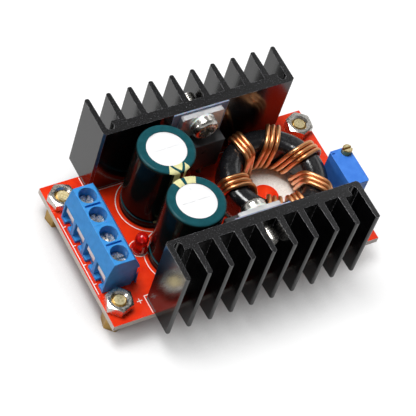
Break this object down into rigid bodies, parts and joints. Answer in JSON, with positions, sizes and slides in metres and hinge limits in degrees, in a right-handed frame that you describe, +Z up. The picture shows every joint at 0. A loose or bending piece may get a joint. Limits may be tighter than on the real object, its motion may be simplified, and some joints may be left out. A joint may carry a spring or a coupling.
{
  "type": "dc-dc converter module",
  "caption": "Boost or buck-boost converter board with finned heatsinks, toroidal choke, upright capacitors, screw terminals and a screw-set trimmer, on brass standoffs.",
  "frame": {"origin": "middle of the board, level with the bottom ends of the standoffs", "axes": "+X from the screw terminals to the trimmer, +Y towards the heatsink that carries the transistor, +Z up"},
  "size_m": [0.065, 0.047, 0.0271],
  "materials": {
    "solder_mask_board": "red solder mask with white print, pale cut edges",
    "brass": "machined",
    "nickel_steel": "nickel plated, polished",
    "black_anodised_aluminium": "black anodised, satin",
    "tinned_steel": "tinned",
    "silicone_pad": "thin translucent pad",
    "white_plastic": "moulded",
    "tinned_copper": "tinned copper",
    "black_moulding": "moulded",
    "aluminium_can": "bright",
    "green_sleeve": "dark green shrink sleeve with pale yellow patches",
    "rubber_seal": "matt",
    "coated_iron_powder": "thick black glossy coating on pressed iron powder",
    "enamelled_copper": "clear-enamelled copper",
    "blue_housing": "moulded",
    "trimmer_blue": "moulded",
    "red_lens": "translucent",
    "black_resistor": "matt",
    "chip_ceramic": "matt with tinned ends"
  },
  "bodies": {
    "module": {"board": "solder_mask_board", "standoff_front_left": "brass", "standoff_back_left": "brass", "standoff_front_right": "brass", "standoff_back_right": "brass", "corner_nuts": "nickel_steel", "heatsink_back": "black_anodised_aluminium", "heatsink_front": "black_anodised_aluminium", "heatsink_pins_back": "tinned_steel", "heatsink_pins_front": "tinned_steel", "insulating_pad_back": "silicone_pad", "insulating_pad_front": "silicone_pad", "insulating_bushing_back": "white_plastic", "insulating_bushing_front": "white_plastic", "fixing_screw_back": "nickel_steel", "fixing_screw_front": "nickel_steel", "transistor_tab": "tinned_copper", "transistor_body": "black_moulding", "transistor_outer_leads": "tinned_copper", "diode_tab": "tinned_copper", "diode_body": "black_moulding", "diode_outer_leads": "tinned_copper", "capacitor_can_back": "aluminium_can", "capacitor_sleeve_back": "green_sleeve", "capacitor_seal_back": "rubber_seal", "capacitor_leads_back": "tinned_copper", "capacitor_can_front": "aluminium_can", "capacitor_sleeve_front": "green_sleeve", "capacitor_seal_front": "rubber_seal", "capacitor_leads_front": "tinned_copper", "choke_core": "coated_iron_powder", "choke_wire_1": "enamelled_copper", "choke_wire_2": "enamelled_copper", "choke_wire_3": "enamelled_copper", "terminal_housing_front": "blue_housing", "terminal_housing_back": "blue_housing", "clamp_body_1": "tinned_steel", "clamp_body_2": "tinned_steel", "clamp_body_3": "tinned_steel", "clamp_body_4": "tinned_steel", "trimmer_body": "trimmer_blue", "trimmer_pins": "tinned_copper", "lamp_lens": "red_lens", "lamp_leads": "tinned_steel", "control_chip": "black_moulding", "control_chip_leads": "tinned_copper", "shunt_resistor": "black_resistor", "small_chip_parts": "chip_ceramic"},
    "trimmer_screw": {"trimmer_screw": "brass"},
    "saddle_1": {"wire_saddle_1": "tinned_steel"},
    "screw_1": {"terminal_screw_1": "nickel_steel"},
    "saddle_2": {"wire_saddle_2": "tinned_steel"},
    "screw_2": {"terminal_screw_2": "nickel_steel"},
    "saddle_3": {"wire_saddle_3": "tinned_steel"},
    "screw_3": {"terminal_screw_3": "nickel_steel"},
    "saddle_4": {"wire_saddle_4": "tinned_steel"},
    "screw_4": {"terminal_screw_4": "nickel_steel"}
  },
  "joints": [
    {"name": "trimmer_turn", "type": "hinge", "parent": "module", "child": "trimmer_screw", "pos_m": [0.0307, -0.00113, 0.0184], "axis": [0, 0, 1], "continuous": true},
    {"name": "saddle_press_1", "type": "slide", "parent": "module", "child": "saddle_1", "axis": [0, 0, -1], "range_m": [0, 0.0015]},
    {"name": "screw_turn_1", "type": "hinge", "parent": "saddle_1", "child": "screw_1", "pos_m": [-0.028, -0.0075, 0.0137], "axis": [0, 0, -1], "range_deg": [0, 1081]},
    {"name": "saddle_press_2", "type": "slide", "parent": "module", "child": "saddle_2", "axis": [0, 0, -1], "range_m": [0, 0.0015]},
    {"name": "screw_turn_2", "type": "hinge", "parent": "saddle_2", "child": "screw_2", "pos_m": [-0.028, -0.0025, 0.0137], "axis": [0, 0, -1], "range_deg": [0, 1081]},
    {"name": "saddle_press_3", "type": "slide", "parent": "module", "child": "saddle_3", "axis": [0, 0, -1], "range_m": [0, 0.0015]},
    {"name": "screw_turn_3", "type": "hinge", "parent": "saddle_3", "child": "screw_3", "pos_m": [-0.028, 0.0025, 0.0137], "axis": [0, 0, -1], "range_deg": [0, 1081]},
    {"name": "saddle_press_4", "type": "slide", "parent": "module", "child": "saddle_4", "axis": [0, 0, -1], "range_m": [0, 0.0015]},
    {"name": "screw_turn_4", "type": "hinge", "parent": "saddle_4", "child": "screw_4", "pos_m": [-0.028, 0.0075, 0.0137], "axis": [0, 0, -1], "range_deg": [0, 1081]}
  ],
  "couplings": [
    {"joint": "screw_turn_1", "follows": "saddle_press_1", "rad_per_m": 12566},
    {"joint": "screw_turn_2", "follows": "saddle_press_2", "rad_per_m": 12566},
    {"joint": "screw_turn_3", "follows": "saddle_press_3", "rad_per_m": 12566},
    {"joint": "screw_turn_4", "follows": "saddle_press_4", "rad_per_m": 12566}
  ]
}
